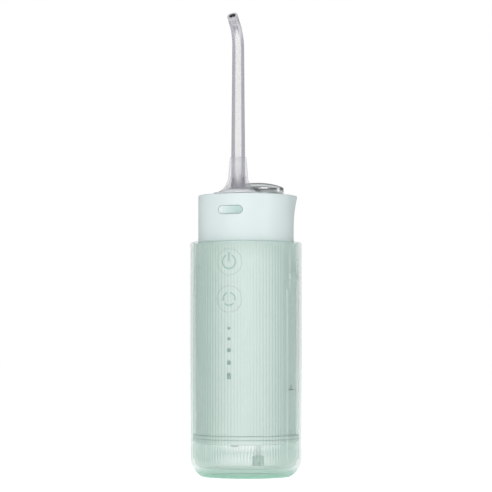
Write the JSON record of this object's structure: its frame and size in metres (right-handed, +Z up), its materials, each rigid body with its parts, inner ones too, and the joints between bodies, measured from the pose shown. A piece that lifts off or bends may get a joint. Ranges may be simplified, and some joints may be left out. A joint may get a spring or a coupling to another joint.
{
  "type": "water flosser",
  "caption": "Portable water flosser with a ribbed translucent tank, a telescopic handle, a bent clear nozzle and a metal release button",
  "frame": {"origin": "centre of the tank's base, on the surface it stands on", "axes": "+Z up along the tank, -Y the front with the buttons and the nozzle's bend, +X the right side window"},
  "size_m": [0.056, 0.0577, 0.2315],
  "materials": {
    "tank_plastic": "translucent frosted",
    "handle_plastic": "satin",
    "head_plastic": "satin",
    "button_plastic": "satin",
    "nozzle_plastic": "clear",
    "bright_metal": "polished",
    "steel": "plain",
    "soft_seal": "soft",
    "soft_cover": "soft",
    "inner_plastic": "plain",
    "battery_wrap": "wrap",
    "board": "solder mask",
    "chip": "moulded",
    "magnet": "plain",
    "gear_plastic": "plain",
    "light_lens": "clear",
    "hose_rubber": "silicone"
  },
  "bodies": {
    "tank": {"tank_cup": "tank_plastic", "intake_tube": "inner_plastic", "intake_filter": "inner_plastic"},
    "handle": {"housing_shell": "handle_plastic", "head_shell": "head_plastic", "bottom_cap": "handle_plastic", "piston_seal": "soft_seal", "housing_oring": "soft_seal", "chassis_frame": "inner_plastic", "cap_screws": "steel", "deck_screws": "steel", "motor_screws": "steel", "board_screws": "steel", "seat_screws": "steel", "battery_cell": "battery_wrap", "battery_pad": "soft_seal", "gear_deck": "inner_plastic", "main_board": "board", "board_parts": "chip", "tact_switches": "chip", "indicator_leds": "light_lens", "indicator_pipes": "light_lens", "motor_can": "steel", "motor_magnets": "magnet", "gear_axle": "steel", "pump_body": "inner_plastic", "pump_head": "inner_plastic", "check_valves": "soft_seal", "intake_sleeve": "inner_plastic", "inlet_hose": "hose_rubber", "outlet_hose": "hose_rubber", "nozzle_socket": "inner_plastic", "retaining_clip": "steel", "swivel_retainer": "inner_plastic", "release_guide": "inner_plastic", "release_springs": "steel", "usb_socket": "steel", "usb_board": "board", "charge_flex": "chip"},
    "swivel": {"swivel_sleeve": "inner_plastic"},
    "nozzle": {"nozzle_tube": "nozzle_plastic", "nozzle_tip": "nozzle_plastic", "nozzle_skirt": "nozzle_plastic", "nozzle_oring": "soft_seal"},
    "release": {"release_button": "bright_metal", "release_collars": "steel"},
    "power_key": {"power_button": "button_plastic"},
    "mode_key": {"mode_button": "button_plastic"},
    "port_flap": {"port_cover": "soft_cover"},
    "crank_gear": {"drive_gear": "gear_plastic", "crank_eccentric": "gear_plastic"},
    "rotor": {"motor_shaft": "steel", "motor_rotor": "steel", "pinion": "gear_plastic"},
    "piston": {"piston_yoke": "gear_plastic", "pump_piston": "inner_plastic", "piston_ring": "soft_seal"}
  },
  "joints": [
    {"name": "handle_slide", "type": "slide", "parent": "tank", "child": "handle", "axis": [0, 0, 1], "range_m": [0, 0.072]},
    {"name": "nozzle_turn", "type": "hinge", "parent": "handle", "child": "swivel", "pos_m": [0, -0.0117, 0.138], "axis": [0, 0, 1], "continuous": true},
    {"name": "nozzle_lift", "type": "slide", "parent": "swivel", "child": "nozzle", "axis": [0, 0, 1], "range_m": [0, 0.024], "deforming": ["retaining_clip"]},
    {"name": "release_press", "type": "slide", "parent": "handle", "child": "release", "axis": [0, 0, -1], "range_m": [0, 0.002], "stiffness_N_per_m": 900, "springref_m": -0.0005, "deforming": ["release_springs"]},
    {"name": "power_press", "type": "slide", "parent": "handle", "child": "power_key", "axis": [0, 1, 0], "range_m": [0, 0.0006], "stiffness_N_per_m": 800},
    {"name": "mode_press", "type": "slide", "parent": "handle", "child": "mode_key", "axis": [0, 1, 0], "range_m": [0, 0.0006], "stiffness_N_per_m": 800},
    {"name": "port_cover_hinge", "type": "hinge", "parent": "handle", "child": "port_flap", "pos_m": [-0.00625, -0.02315, 0.1326], "axis": [0, 0, -1], "range_deg": [0, 100]},
    {"name": "motor_turn", "type": "hinge", "parent": "handle", "child": "rotor", "pos_m": [0.0098, -0.003, 0.09], "axis": [0, 0, 1], "continuous": true},
    {"name": "gear_turn", "type": "hinge", "parent": "handle", "child": "crank_gear", "pos_m": [-0.0043, 0.00213, 0.103], "axis": [0, 0, 1], "continuous": true},
    {"name": "pump_stroke", "type": "slide", "parent": "handle", "child": "piston", "axis": [1, 0, 0], "range_m": [-0.00175, 0.00175]}
  ],
  "couplings": [
    {"joint": "gear_turn", "follows": "motor_turn", "ratio": -0.25}
  ]
}
